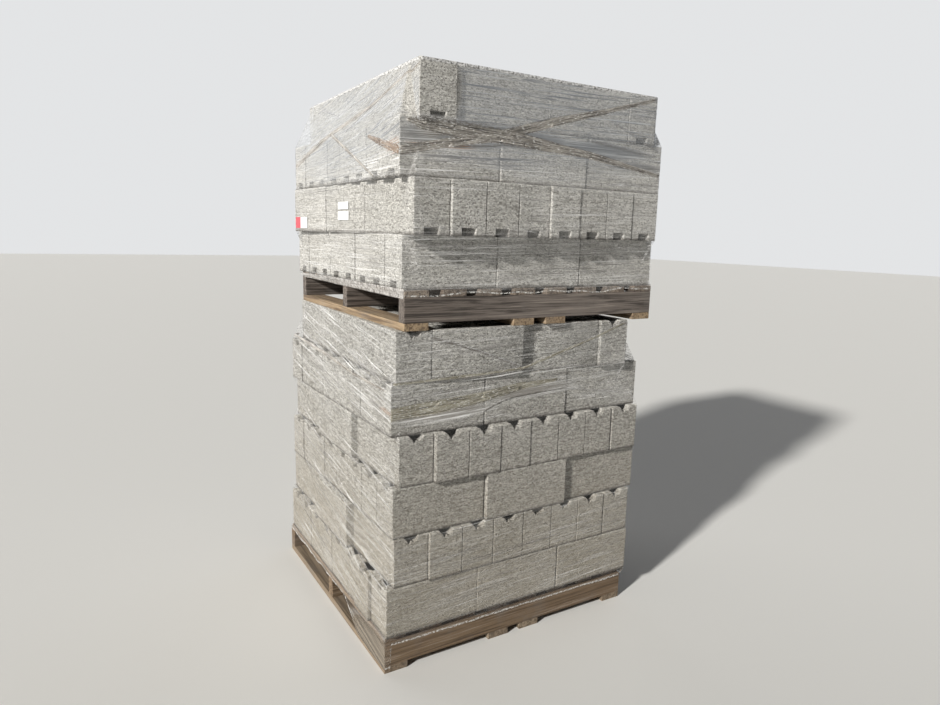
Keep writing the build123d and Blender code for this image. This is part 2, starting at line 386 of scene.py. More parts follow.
# Timber
def timber_group():
    """Sawn timber: the grain runs along one way, with streaks, fibres, a paler bloom and dirt."""
    shades = [(name, "Color") for name in ("Pale", "Brown", "Dark")]
    inputs = [("Along", "Vector")] + shades + [("Weathered", "Float")]
    tree, inside, outside = new_group("timber_grain", inputs, (("Colour", "Color"), ("Height", "Float")))
    along = inside["Along"]
    lines = grain(tree, place(tree, along, (2.2, 95, 95)), 1, 5, 0.62, 0.6)
    fibres = grain(tree, place(tree, along, (9, 420, 420)), 1, 3, 0.6)
    boards = grain(tree, place(tree, along, (0.5, 6.5, 3)), 1, 2, 0.5)
    stains = grain(tree, along, 7, 4, 0.6)
    dirt = times(tree, ramp(tree, stains, 0.48, 0.72), inside["Weathered"])
    colour = mix(tree, ramp(tree, boards, 0.35, 0.65), inside["Pale"], inside["Brown"])
    colour = painted(tree, colour, (
        (ramp(tree, lines, 0.47, 0.60, 0, 0.9), inside["Dark"]),
        (ramp(tree, fibres, 0.48, 0.70, 0, 0.55), inside["Dark"]),
        (ramp(tree, lines, 0.43, 0.33, 0, 0.30), (0.52, 0.46, 0.40)),
        (dirt, (0.20, 0.18, 0.165)),
    ))
    tree.links.new(colour, outside["Colour"])
    tree.links.new(summed(tree, ((lines, 1.0), (fibres, 0.5))), outside["Height"])
    return tree


timber = timber_group()


def timber_material(name, along_x, pale, brown, dark, weathered):
    """Timber whose grain runs along X, or along Y."""
    material, tree, shader = new_material(name, 0.82)
    where = object_place(tree)
    turned = where if along_x else place(tree, where, (1, 1, 1), (0, 0, math.radians(90)))
    group = tree.nodes.new("ShaderNodeGroup")
    group.node_tree = timber
    tree.links.new(turned, group.inputs["Along"])
    for shade, socket in ((pale, "Pale"), (brown, "Brown"), (dark, "Dark")):
        group.inputs[socket].default_value = (*shade, 1)
    group.inputs["Weathered"].default_value = weathered
    tree.links.new(group.outputs["Colour"], shader.inputs["Base Color"])
    tree.links.new(bump(tree, group.outputs["Height"], 0.003, 0.9), shader.inputs["Normal"])
    return material


timber_finishes = {
    ("upper", "bearer"): timber_material(
        "weathered_bearer", True, (0.20, 0.17, 0.15), (0.13, 0.105, 0.09), (0.04, 0.032, 0.027), 0.5),
    ("upper", "deck"): timber_material(
        "weathered_deck", False, (0.27, 0.22, 0.175), (0.19, 0.15, 0.12), (0.07, 0.054, 0.045), 0.5),
    ("upper", "base"): timber_material(
        "tan_base", False, (0.42, 0.31, 0.195), (0.32, 0.23, 0.145), (0.14, 0.095, 0.06), 0.4),
    ("lower", "bearer"): timber_material(
        "orange_bearer", True, (0.24, 0.168, 0.103), (0.18, 0.121, 0.073), (0.08, 0.053, 0.032), 0.4),
    ("lower", "deck"): timber_material(
        "dusty_deck", False, (0.29, 0.22, 0.15), (0.22, 0.16, 0.11), (0.11, 0.08, 0.06), 0.5),
    ("lower", "base"): timber_material(
        "dusty_base", False, (0.30, 0.235, 0.165), (0.24, 0.18, 0.125), (0.12, 0.09, 0.06), 0.5),
}
for name, node in nodes.items():
    for (load, kind), material in timber_finishes.items():
        if name.startswith(load) and kind in name:
            worn_edges(node, timber_wear)
            coat(node, material)


# How the film lies round a load
def plan_outline(node_names):
    """The convex outline of some nodes seen from above: each side's outward way and distance."""
    vertices = [vertex.co for name in node_names for vertex in nodes[name].data.vertices]
    points = sorted({(round(spot.x, 4), round(spot.y, 4)) for spot in vertices})

    def turns_left(a, b, c):
        return (b[0] - a[0]) * (c[1] - a[1]) > (b[1] - a[1]) * (c[0] - a[0])

    def half(run):
        chain = []
        for spot in run:
            while len(chain) > 1 and not turns_left(chain[-2], chain[-1], spot):
                chain.pop()
            chain.append(spot)
        return chain[:-1]

    corners = half(points) + half(points[::-1])
    sides = []
    for (x, y), (next_x, next_y) in zip(corners, corners[1:] + corners[:1]):
        way = Vector((next_y - y, x - next_x)).normalized()
        sides.append((way.x, way.y, way.x * x + way.y * y))
    return sides


class Wrap:
    """The film's surface round a load: how far it stands from the load's upright middle line.

    Above and below a course that stands out, the film falls back by bridge for each metre."""

    bridge = 0.5
    clearance = 0.0012
    first_guess = 0.6
    far_off = 9.0
    hair = 1e-6

    def __init__(self, levels, middle, angles, heights):
        """Takes (low, high, node names) for each level, and the rows and columns of the film's points."""
        self.middle, self.angles, self.heights = middle, angles, heights
        ways = np.stack([np.cos(angles), np.sin(angles)])
        reach = np.zeros((len(heights), len(angles)))
        for low, high, names in levels:
            near = np.full(len(angles), self.far_off)
            for way_x, way_y, distance in plan_outline(names):
                facing = way_x * ways[0] + way_y * ways[1]
                room = distance - way_x * middle[0] - way_y * middle[1]
                met = np.where(facing > self.hair, room / np.maximum(facing, self.hair), self.far_off)
                near = np.minimum(near, met)
            inside = (heights >= low - self.hair) & (heights <= high + self.hair)
            reach[inside] = np.maximum(reach[inside], near)
        fall = self.bridge * np.abs(heights[:, None] - heights[None, :])
        self.reach = (reach[None, :, :] - fall[:, :, None]).max(axis=1) + self.clearance
        spots = np.stack([middle[0] + self.reach * ways[0], middle[1] + self.reach * ways[1]], axis=2)
        self.corners = np.array([row[np.argmin(row.sum(axis=1))] for row in spots])

    def out(self, angle, height):
        """The distance out at one angle and height."""
        around = np.interp(angle % full_turn, self.angles, np.arange(len(self.angles)), period=full_turn)
        up = np.interp(height, self.heights, np.arange(len(self.heights)))
        low, share = int(up), up - int(up)
        high = min(low + 1, len(self.heights) - 1)
        left, part = int(around), around - int(around)
        after = (left + 1) % len(self.angles)
        below = self.reach[low][left] * (1 - part) + self.reach[low][after] * part
        above = self.reach[high][left] * (1 - part) + self.reach[high][after] * part
        return below * (1 - share) + above * share

    def on_side(self, side, along, height, lift):
        """The point of the film at this place along the front or the left side, and this height."""
        axis = ("front", "left").index(side)
        across = 1 - axis
        near_corner = np.interp(height, self.heights, self.corners[:, axis])
        spot = [0.0, 0.0, height]
        spot[axis] = max(along, near_corner)
        spot[across] = self.middle[across] - self.first_guess
        for again in range(4):
            angle = math.atan2(spot[1] - self.middle[1], spot[0] - self.middle[0])
            way = (math.cos(angle), math.sin(angle))
            spot[across] = self.middle[across] + (self.out(angle, height) + lift) * way[across]
        return Vector(spot)


plan_side = 1.16
corner_run = 0.07
close_step, wide_step = 0.0045, 0.018


def columns():
    """The angles at which the film's upright rows of points stand, closer at the corners."""
    angles = []
    for side in range(4):
        along = 0.0
        while along < plan_side:
            angles.append(side * math.pi / 2 + math.atan2(along - plan_side / 2, plan_side / 2))
            along += close_step if min(along, plan_side - along) < corner_run else wide_step
    return np.array(sorted(angle % full_turn for angle in angles))


def course_levels(load, count):
    """The foot, the top and the nodes of each course of a load."""
    levels = []
    for number in range(1, count + 1):
        names = [name for name in course_names if name.startswith(f"{load}_course_{number}")]
        low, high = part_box(names[0])
        levels.append((low.z, high.z, names))
    return levels


def make_wrap(load, count, hem, hem_rows=6, course_rows=14):
    """The wrap round a load of so many courses, from the hem on its pallet to the top of its last course."""
    levels = course_levels(load, count)
    pallet = [name for name in nodes if name.startswith(load) and ("bearer" in name or "board" in name)]
    bottom, top = levels[0][0], levels[-1][1]
    on_pallet = np.linspace(hem, bottom, hem_rows)
    on_load = np.linspace(bottom, top, course_rows * count + 1)
    heights = np.array(sorted({round(z, 5) for z in np.concatenate([on_pallet, on_load])}))
    low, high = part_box(f"{load}_course_1")
    middle = (low + high) / 2
    return Wrap([(hem, bottom, pallet)] + levels, (middle.x, middle.y), columns(), heights)


upper_wrap = make_wrap("upper", count=4, hem=1.375)
lower_wrap = make_wrap("lower", count=6, hem=0.015)


# Thin pieces: film and labels
film_thickness, label_thickness = 0.0004, 0.0003


def new_piece(name, bm, thickness=None):
    """An object at the origin from a finished bmesh, with the thickness it is given on the outside."""
    mesh = bpy.data.meshes.new(name)
    bm.to_mesh(mesh)
    bm.free()
    piece = bpy.data.objects.new(name, mesh)
    collection.objects.link(piece)
    if thickness:
        thick = piece.modifiers.new("thickness", "SOLIDIFY")
        thick.thickness = thickness
        thick.offset = 1
    return piece


def face_outward(bm, wrap):
    """Turns the faces round if they look at the load's upright middle line."""
    middle = Vector((*wrap.middle, 0))
    level = Vector((1, 1, 0))
    if sum(face.normal.dot((face.calc_center_median() - middle) * level) for face in bm.faces) < 0:
        bmesh.ops.reverse_faces(bm, faces=bm.faces)


def ripple(x, y, z):
    """Smooth noise between about -1 and 1."""
    return noise.noise(Vector((x, y, z)))


# The film's skin
slack_depth = 0.0016
hem_squeeze = 0.02
lap_rings = 3
lap_start, lap_step, lap_ragged = 0.004, 0.012, 0.014
lap_rise, lap_crumple = 0.0016, 0.002


def film_skin(name, wrap, hem_of, lap):
    """The outermost layer as a sleeve that follows the wrap, with slack, a ragged hem and a lap on top."""
    count, rows = len(wrap.angles), len(wrap.heights)
    rings = rows + (lap_rings if lap else 0)
    bm = bmesh.new()
    bmesh.ops.create_cone(bm, cap_ends=False, segments=count, radius1=1, radius2=1, depth=1)
    uprights = [edge for edge in bm.edges if abs(edge.verts[0].co.z - edge.verts[1].co.z) > 0.5]
    above_hem = bm.verts.layers.float.new("above_hem")
    bmesh.ops.subdivide_edges(bm, edges=uprights, cuts=rings - 2, use_grid_fill=True)
    bm.verts.ensure_lookup_table()
    turns = np.array([math.atan2(vertex.co.y, vertex.co.x) % full_turn for vertex in bm.verts])
    first = turns.min()
    for vertex, turn in zip(bm.verts, turns):
        column = int(round((turn - first) / full_turn * count)) % count
        ring = int(round((vertex.co.z + 0.5) * (rings - 1)))
        inward = max(0, ring - rows + 1)
        angle = wrap.angles[column]
        height = wrap.heights[min(ring, rows - 1)]
        hem = hem_of(angle)
        vertex[above_hem] = height - hem
        if height < hem:
            height = hem + (height - hem) * hem_squeeze
        here = Vector((math.cos(angle), math.sin(angle), 0))
        spot = Vector((wrap.middle[0], wrap.middle[1], height)) + here * wrap.out(angle, height)
        loose = ripple(spot.x * 3.1, spot.y * 3.1, spot.z * 17)
        loose += 0.6 * ripple(spot.x * 8, spot.y * 8, spot.z * 55)
        spot += here * max(0.0, slack_depth * loose)
        if inward:
            ragged = lap_step + lap_ragged * ripple(spot.x * 9, spot.y * 9, 4)
            spot -= here * (lap_start + inward * ragged)
            spot.z += lap_rise + lap_crumple * abs(noise.noise(spot * 21)) * inward
        vertex.co = spot
    bmesh.ops.recalc_face_normals(bm, faces=bm.faces)
    face_outward(bm, wrap)
    for face in bm.faces:
        face.smooth = True
    skin = new_piece(name, bm, film_thickness)
    skin.visible_shadow = False
    skin.visible_diffuse = False
    return skin


upper_hem_height = 1.408
front_hem_height, side_hem_height, skirt_height = 0.110, 0.118, 0.018
skirt_start, skirt_full, near_corner_turn, front_end = 196, 207, 225.3, 315
skirt_slope = 0.009


def upper_hem(angle):
    """The upper film ends at the deck boards."""
    return upper_hem_height + 0.012 * ripple(math.cos(angle) * 6, math.sin(angle) * 6, 1)


def lower_hem(angle):
    """The lower film ends high on the bearer, and hangs almost to the ground left of the near corner."""
    degrees = math.degrees(angle) % 360
    wave = ripple(math.cos(angle) * 7, math.sin(angle) * 7, 2)
    if near_corner_turn <= degrees <= front_end:
        return front_hem_height + 0.006 * wave
    if skirt_start <= degrees < near_corner_turn:
        return skirt_height + 0.004 * wave + max(0.0, skirt_full - degrees) * skirt_slope
    return side_hem_height + 0.014 * wave


# The film's look
def fold_group():
    """One straight fold in the film: how near a point lies to the line from A to B, on one side."""
    names = ("Across", "Up", "A across", "A up", "B across", "B up", "Width")
    tree, given, outside = new_group("film_fold", [(name, "Float") for name in names], (("Mask", "Float"),))

    def dot(first, second):
        return plus(tree, times(tree, first[0], second[0]), times(tree, first[1], second[1]))

    run = (minus(tree, given["B across"], given["A across"]), minus(tree, given["B up"], given["A up"]))
    off = (minus(tree, given["Across"], given["A across"]), minus(tree, given["Up"], given["A up"]))
    share = math_node(tree, "DIVIDE", dot(off, run), dot(run, run), clamp=True)
    rest = [minus(tree, whole, times(tree, share, step)) for whole, step in zip(off, run)]
    away = math_node(tree, "SQRT", dot(rest, rest))
    tree.links.new(ramp(tree, away, given["Width"], 0.0), outside["Mask"])
    return tree


fold = fold_group()


def fold_mask(tree, planes, up, folds):
    """Where the folds lie, each given as (side, start, end, width, weight)."""
    folded = None
    for side, (a_across, a_up), (b_across, b_up), width, weight in folds:
        across, seen = planes[side]
        group = tree.nodes.new("ShaderNodeGroup")
        group.node_tree = fold
        given = {"Across": across, "Up": up, "A across": a_across, "A up": a_up,
                 "B across": b_across, "B up": b_up, "Width": width}
        for name, value in given.items():
            feed(tree, value, group.inputs[name])
        mask = times(tree, times(tree, group.outputs["Mask"], weight), seen)
        folded = mask if folded is None else math_node(tree, "MAXIMUM", folded, mask)
    return folded


def patch_masks(tree, planes, up, patches):
    """A mask for each kind of mark, from oval patches of (kind, side, centre, half width and height)."""
    marks = {}
    for kind, side, centre, half in patches:
        across, seen = planes[side]
        off = math_node(tree, "DIVIDE", minus(tree, across, centre[0]), half[0])
        rise = math_node(tree, "DIVIDE", minus(tree, up, centre[1]), half[1])
        away = plus(tree, times(tree, off, off), times(tree, rise, rise))
        patch = times(tree, ramp(tree, away, 1.0, 0.1), seen)
        marks[kind] = patch if kind not in marks else math_node(tree, "MAXIMUM", marks[kind], patch)
    return marks


def profile(tree, value, stops):
    """A value that runs evenly between stops of (place, amount)."""
    first, last = stops[0][0], stops[-1][0]
    share = tree.nodes.new("ShaderNodeMapRange")
    for given, socket in ((value, "Value"), (first, "From Min"), (last, "From Max")):
        feed(tree, given, share.inputs[socket])
    node = tree.nodes.new("ShaderNodeValToRGB")
    tree.links.new(share.outputs[0], node.inputs[0])
    points = node.color_ramp.elements
    for point, amount in ((points[0], stops[0][1]), (points[1], stops[-1][1])):
        point.color = (amount, amount, amount, 1)
    for stop, amount in stops[1:-1]:
        points.new((stop - first) / (last - first)).color = (amount, amount, amount, 1)
    return node.outputs["Color"]


def film_material(name, folds, patches, covers, leans):
    """Clear stretch film: fine straight lines, slack wrinkles, folds, dust and rust, with painted highlights
    and painted shadows along the wrinkles.

    For each side, covers gives (height, amount) stops of how much of it shows, and leans gives the slope
    of the lines and the two heights between which it comes in."""
    material, tree, shader = new_material(name, 0.24)
    where = object_place(tree)
    x, y, z = apart(tree, where)
    facing = apart(tree, tree.nodes.new("ShaderNodeNewGeometry").outputs["True Normal"])
    planes = {
        "front": (x, ramp(tree, facing[1], -0.5, -0.8)),
        "left": (y, ramp(tree, facing[0], -0.5, -0.8)),
    }
    marks = patch_masks(tree, planes, z, patches)
    folded = fold_mask(tree, planes, z, folds)
    cover = 0.45
    lean = 0.0
    for side, (across, seen) in planes.items():
        cover = ramp(tree, seen, 0, 1, cover, profile(tree, z, covers[side]))
        slope, low, high = leans[side]
        turned = times(tree, ramp(tree, z, low, high, 0.0, slope), across)
        lean = plus(tree, lean, times(tree, turned, seen))
    cover = times(tree, cover, ramp(tree, marks["clear"], 0.0, 0.5, 1.0, 0.08))

    slack = grain(tree, place(tree, where, (2.1, 2.1, 6)), 1, 2, 0.5)
    raised = plus(tree, minus(tree, z, lean), times(tree, slack, 0.014))
    wound = tree.nodes.new("ShaderNodeCombineXYZ")
    for value, socket in zip((x, y, raised), wound.inputs):
        tree.links.new(value, socket)
    wound = wound.outputs[0]
    lines = grain(tree, place(tree, wound, (1.8, 1.8, 160)), 1, 4, 0.68)
    gleams = grain(tree, place(tree, wound, (2.2, 2.2, 190), shift=(3, 5, 0.7)), 1, 3, 0.68)
    coarse = grain(tree, place(tree, wound, (1.6, 1.6, 34)), 1, 3, 0.6)
    creases = grain(tree, place(tree, wound, (0.9, 0.9, 46)), 1, 3, 0.6)
    beads = grain(tree, place(tree, wound, (60, 60, 300)), 1, 2, 0.6)
    ticks = grain(tree, place(tree, where, (130, 130, 90)), 1, 2, 0.7)
    veil = grain(tree, where, 4.5, 4, 0.6)
    broken = ramp(tree, grain(tree, place(tree, where, (6, 6, 26)), 1, 3, 0.6), 0.44, 0.60)

    def near_level(level):
        off = math_node(tree, "ABSOLUTE", minus(tree, creases, level))
        return times(tree, ramp(tree, off, 0.022, 0.004), broken)

    # Painted highlight along the crests of the slack wrinkles, and painted shadow in the troughs just beside
    # them
    crest = times(tree, near_level(0.50), ramp(tree, beads, 0.44, 0.58))
    shaded_trough = near_level(0.54)
    streaks = times(tree, ramp(tree, lines, 0.54, 0.66), ramp(tree, coarse, 0.38, 0.60, 0.2, 1.0))
    # Painted shadow: fine dark lines that stand for the shade of the film's wrinkles
    shades = times(tree, ramp(tree, gleams, 0.46, 0.37), ramp(tree, coarse, 0.60, 0.38, 0.3, 1.0))
    veiled = ramp(tree, veil, 0.45, 0.75)
    dusty = times(tree, marks["dust"], ramp(tree, lines, 0.36, 0.62, 0.55, 1.0))
    rusty = times(tree, marks["rust"], ramp(tree, lines, 0.46, 0.58))
    rope = times(tree, folded, ramp(tree, beads, 0.3, 0.7, 0.45, 0.85))
    hem = times(tree, ramp(tree, attribute(tree, "above_hem"), 0.007, 0.001), ramp(tree, ticks, 0.4, 0.6))

    over_all = summed(tree, ((streaks, 0.74), (shades, 0.76), (veiled, 0.14), (crest, 0.45), (shaded_trough, 0.60)))
    alpha = plus(tree, times(tree, over_all, cover), 0.02)
    colour = mix(tree, ramp(tree, lines, 0.50, 0.60), (0.60, 0.60, 0.60), (0.97, 0.975, 0.98))
    colour = painted(tree, colour, (
        (shades, (0.20, 0.19, 0.18)),
        (crest, (0.98, 0.98, 0.98)),
        (times(tree, shaded_trough, 0.9), (0.15, 0.14, 0.13)),
        (times(tree, dusty, ramp(tree, lines, 0.62, 0.50, 0.25, 1.0)), (0.17, 0.152, 0.125)),
    ))
    added = [(dusty, 0.80), (rusty, 0.45)]
    # Denser film over the top courses, painted dark and bluish as sky-lit shade
    if "haze_and_blue_shade" in marks:
        haze_and_blue_shade = times(tree, marks["haze_and_blue_shade"], ramp(tree, marks["clear"], 0.0, 0.5, 1.0, 0.05))
        colour = mix(tree, times(tree, haze_and_blue_shade, 0.62), colour, (0.17, 0.20, 0.24))
        added.append((haze_and_blue_shade, 0.20))
    if "soiled" in marks:
        hem = times(tree, hem, ramp(tree, marks["soiled"], 0.0, 0.4, 1.0, 0.0))
        added.append((marks["soiled"], 0.62))
    colour = painted(tree, colour, (
        (times(tree, folded, ramp(tree, beads, 0.66, 0.48, 0.1, 1.0)), (0.13, 0.115, 0.10)),
        (rusty, (0.34, 0.19, 0.10)),
        (hem, (0.92, 0.91, 0.88)),
    ))
    if "soiled" in marks:
        earth = mix(tree, ramp(tree, lines, 0.42, 0.60), (0.11, 0.095, 0.077), (0.28, 0.243, 0.197))
        colour = mix(tree, ramp(tree, marks["soiled"], 0.0, 0.5), colour, earth)
        dulled = ramp(tree, marks["soiled"], 0.0, 0.6, 0.24, 0.75)
        tree.links.new(dulled, shader.inputs["Roughness"])
    alpha = plus(tree, alpha, summed(tree, added + [(hem, 0.55)]))
    alpha = plus(tree, alpha, rope, clamp=True)
    tree.links.new(colour, shader.inputs["Base Color"])
    tree.links.new(alpha, shader.inputs["Alpha"])
    shader.inputs["Specular IOR Level"].default_value = 0.6
    height = summed(tree, ((lines, 1.0), (coarse, 0.5), (folded, 2.0), (crest, 0.4)))
    tree.links.new(bump(tree, height, 0.002, 0.9), shader.inputs["Normal"])
    return material


upper_film_look = film_material(
    "upper_film_look",
    folds=(
        ("front", (-0.525, 1.994), (-0.382, 1.993), 0.020, 0.9),
        ("front", (-0.382, 1.993), (-0.195, 1.982), 0.018, 0.9),
        ("front", (-0.195, 1.982), (-0.090, 1.961), 0.014, 1.0),
        ("front", (-0.090, 1.961), (0.219, 1.930), 0.013, 0.8),
        ("front", (0.219, 1.930), (0.585, 1.879), 0.012, 0.9),
        ("front", (-0.581, 1.879), (-0.399, 1.927), 0.014, 0.9),
        ("front", (-0.399, 1.927), (-0.219, 1.970), 0.015, 1.0),
        ("front", (-0.219, 1.970), (0.019, 2.031), 0.018, 0.9),
        ("front", (0.019, 2.031), (0.282, 2.099), 0.014, 0.8),
        ("front", (0.282, 2.099), (0.565, 2.180), 0.010, 0.7),
        ("front", (-0.380, 1.915), (-0.176, 1.936), 0.007, 0.6),
        ("front", (-0.176, 1.936), (0.194, 1.928), 0.007, 0.6),
        ("front", (0.219, 1.985), (0.560, 1.955), 0.010, 0.5),
        ("front", (0.330, 2.060), (0.575, 1.975), 0.009, 0.5),
        ("left", (-0.640, 2.180), (-0.258, 2.070), 0.010, 0.8),
        ("left", (-0.258, 2.070), (0.081, 2.008), 0.012, 0.9),
        ("left", (0.081, 2.008), (0.574, 1.907), 0.011, 0.8),
        ("left", (0.081, 2.008), (-0.159, 1.906), 0.009, 0.8),
        ("left", (-0.159, 1.906), (-0.368, 1.816), 0.008, 0.7),
        ("left", (0.356, 2.147), (0.079, 2.070), 0.008, 0.5),
        ("left", (-0.368, 1.940), (-0.558, 1.889), 0.014, 0.8),
        ("left", (-0.560, 2.170), (-0.100, 2.000), 0.005, 0.6),
        ("left", (-0.560, 2.175), (0.150, 2.080), 0.005, 0.5),
    ),
    patches=(
        # Patches of denser film, painted dark and bluish as sky-lit shade over the top courses
        ("haze_and_blue_shade", "front", (0.050, 2.060), (0.900, 0.300)),
        ("haze_and_blue_shade", "left", (0.000, 2.030), (0.900, 0.280)),
        ("clear", "front", (-0.470, 2.095), (0.125, 0.190)),
        ("clear", "left", (-0.560, 1.705), (0.220, 0.110)),
        ("clear", "front", (-0.300, 1.700), (0.260, 0.085)),
        ("dust", "front", (-0.390, 1.945), (0.270, 0.050)),
        ("dust", "front", (-0.120, 1.965), (0.300, 0.040)),
        ("dust", "front", (0.250, 1.950), (0.330, 0.036)),
        ("dust", "front", (0.450, 1.905), (0.200, 0.020)),
        ("rust", "front", (-0.430, 1.914), (0.170, 0.010)),
        ("rust", "front", (-0.250, 1.958), (0.130, 0.008)),
        ("rust", "left", (-0.540, 1.905), (0.080, 0.035)),
    ),
    covers={
        "front": ((1.36, 0.02), (1.415, 0.05), (1.43, 0.55), (1.59, 0.85), (1.62, 0.40), (1.78, 0.45),
                  (1.82, 1.0), (1.96, 1.0), (2.00, 0.80), (2.19, 0.90)),
        "left": ((1.36, 0.10), (1.415, 0.20), (1.44, 0.60), (1.60, 0.60), (1.63, 0.30), (1.78, 0.40),
                 (1.83, 0.75), (1.98, 0.90), (2.19, 0.90)),
    },
    leans={"front": (0.02, 1.3, 1.4), "left": (-0.25, 1.75, 2.20)},
)
lower_film_look = film_material(
    "lower_film_look",
    folds=(
        ("front", (-0.587, 1.095), (-0.409, 1.100), 0.008, 0.7),
        ("front", (-0.409, 1.100), (-0.217, 1.106), 0.008, 0.7),
        ("front", (-0.217, 1.106), (-0.043, 1.115), 0.008, 0.7),
        ("front", (-0.043, 1.115), (0.136, 1.162), 0.008, 0.8),
        ("front", (0.136, 1.162), (0.316, 1.217), 0.008, 0.8),
        ("front", (0.316, 1.217), (0.479, 1.272), 0.008, 0.8),
        ("front", (-0.441, 1.255), (-0.242, 1.192), 0.010, 1.0),
        ("front", (-0.242, 1.192), (-0.053, 1.120), 0.010, 1.0),
        ("front", (-0.212, 0.958), (-0.145, 0.982), 0.006, 0.9),
        ("front", (-0.145, 0.982), (-0.076, 0.999), 0.006, 0.9),
        ("front", (-0.076, 0.999), (0.045, 1.007), 0.006, 0.9),
        ("front", (0.045, 1.007), (0.171, 1.011), 0.006, 0.8),
        ("front", (0.171, 1.011), (0.362, 0.984), 0.005, 0.5),
        ("front", (0.362, 0.984), (0.567, 0.950), 0.005, 0.5),
        ("left", (0.620, 1.116), (0.141, 1.098), 0.008, 0.7),
        ("left", (0.141, 1.098), (-0.206, 1.070), 0.008, 0.7),
        ("left", (-0.206, 1.070), (-0.499, 1.064), 0.008, 0.7),
    ),
    patches=(
        ("clear", "front", (0.060, 0.955), (0.230, 0.042)),
        ("dust", "front", (-0.400, 0.975), (0.280, 0.034)),
        ("dust", "front", (-0.050, 1.020), (0.350, 0.036)),
        ("soiled", "left", (-0.500, 0.055), (0.300, 0.105)),
        ("rust", "left", (-0.520, 0.990), (0.080, 0.020)),
    ),
    covers={
        "front": ((0.03, 0.05), (0.145, 0.12), (0.16, 0.55), (0.33, 0.40), (0.36, 0.45), (0.52, 0.30),
                  (0.55, 0.10), (0.92, 0.08), (0.945, 0.90), (1.10, 1.0), (1.13, 0.55), (1.30, 0.50)),
        "left": ((0.03, 0.10), (0.15, 0.20), (0.20, 0.70), (0.34, 0.60), (0.38, 0.38), (0.52, 0.40),
                 (0.56, 0.60), (0.72, 0.50), (0.80, 0.35), (0.92, 0.45), (0.96, 0.75), (1.12, 0.75),
                 (1.30, 0.60)),
    },
    leans={"front": (0.05, -0.2, -0.1), "left": (0.15, -0.2, -0.1)},
)


# Film drawn together into pleated bands
def gathered_material(name, dusty_shade, pale, stretch=(9, 230, 1)):
    """Many layers of film bunched together and dusty, with painted shade between the pleats and painted
    highlights on the crests along them.
    """
    material, tree, shader = new_material(name, 0.3)
    along = tree.nodes.new("ShaderNodeUVMap").outputs[0]
    pleats = grain(tree, place(tree, along, stretch), 1, 4, 0.65)
    painted_glints = grain(tree, place(tree, along, (70, 330, 1)), 1, 3, 0.6)
    dust = grain(tree, place(tree, along, (5, 60, 1)), 1, 4, 0.7)
    # Painted light on the pleats: pale where they rise and shaded between them, darkest in the deepest
    # creases, with painted glints on top
    colour = mix(tree, ramp(tree, pleats, 0.42, 0.58), dusty_shade, pale)
    colour = painted(tree, colour, (
        (ramp(tree, pleats, 0.47, 0.37, 0, 0.9), (0.05, 0.043, 0.037)),
        (ramp(tree, painted_glints, 0.56, 0.66), (0.97, 0.97, 0.96)),
    ))
    tree.links.new(colour, shader.inputs["Base Color"])
    torn = ramp(tree, attribute(tree, "edge"), 1.0, 0.65)
    solid = times(tree, ramp(tree, dust, 0.34, 0.56, 0.35, 0.97), torn)
    tree.links.new(solid, shader.inputs["Alpha"])
    shader.inputs["Specular IOR Level"].default_value = 0.6
    height = summed(tree, ((pleats, 1.0), (painted_glints, 0.5)))
    tree.links.new(bump(tree, height, 0.002, 0.8), shader.inputs["Normal"])
    return material


band_step = 0.010
band_clearance = 0.0006


def route_spots(route):
    """Places along a route of (across, up, width), with the way off it, and how far along each one is."""
    spots = []
    for start, end in zip(route, route[1:]):
        run_across, run_up = end[0] - start[0], end[1] - start[1]
        run = math.hypot(run_across, run_up)
        steps = max(2, round(run / band_step))
        for step in range(steps):
            share = step / (steps - 1)
            across, up, width = (first + (last - first) * share for first, last in zip(start, end))
            spots.append((across, up, width, (-run_up / run, run_across / run)))
    gone = [0.0]
    for spot, after in zip(spots, spots[1:]):
        gone.append(gone[-1] + math.hypot(after[0] - spot[0], after[1] - spot[1]))
    return spots, gone


def gathered_band(name, wrap, side, route, height, pleats):
    """A pleated strip of film along a route on one side of a wrap."""
    spots, gone = route_spots(route)
    rows = 2 * pleats
    bm = bmesh.new()
    uv = bm.loops.layers.uv.new("UVMap")
    edge = bm.verts.layers.float.new("edge")
    bmesh.ops.create_grid(bm, x_segments=len(spots) - 1, y_segments=rows, size=1, calc_uvs=True)
    places = {}
    for vertex in bm.verts:
        number = round((vertex.co.x + 1) / 2 * (len(spots) - 1))
        row = round((vertex.co.y + 1) / 2 * rows)
        across, up, width, (lean_across, lean_up) = spots[number]
        far = gone[number]
        off_middle = abs(2 * row / rows - 1)
        sway = 0.25 * width * ripple(far * 5, up, row * 0.4)
        away = (row / rows - 0.5) * width + sway * (1 - off_middle)
        uneven = 0.6 + 0.8 * abs(ripple(far * 14, row * 3.1, up))
        crest = 0.25 + 0.75 * (row % 2) * uneven
        lift = band_clearance + height * (1 - off_middle ** 2) * crest
        places[vertex] = (far, away)
        vertex[edge] = off_middle
        vertex.co = wrap.on_side(side, across + lean_across * away, up + lean_up * away, lift)
    for face in bm.faces:
        face.smooth = True
        for loop in face.loops:
            loop[uv].uv = places[loop.vert]
    face_outward(bm, wrap)
    band = new_piece(name, bm, film_thickness)
    band.visible_shadow = False
    return band


upper_gathered = gathered_material("upper_gathered_film", (0.15, 0.135, 0.12), (0.40, 0.375, 0.34))
lower_gathered = gathered_material("lower_gathered_film", (0.20, 0.178, 0.12), (0.42, 0.40, 0.335))
left_gathered = gathered_material("left_gathered_film", (0.17, 0.145, 0.12), (0.44, 0.41, 0.37))
rust_gathered = gathered_material("rusty_gathered_film", (0.11, 0.06, 0.03), (0.31, 0.22, 0.15), (7, 420, 1))
ribbed = gathered_material("ribbed_film", (0.22, 0.20, 0.19), (0.62, 0.60, 0.58), (160, 35, 1))
crinkled = gathered_material("crinkled_film", (0.30, 0.30, 0.30), (0.80, 0.80, 0.80), (120, 120, 1))

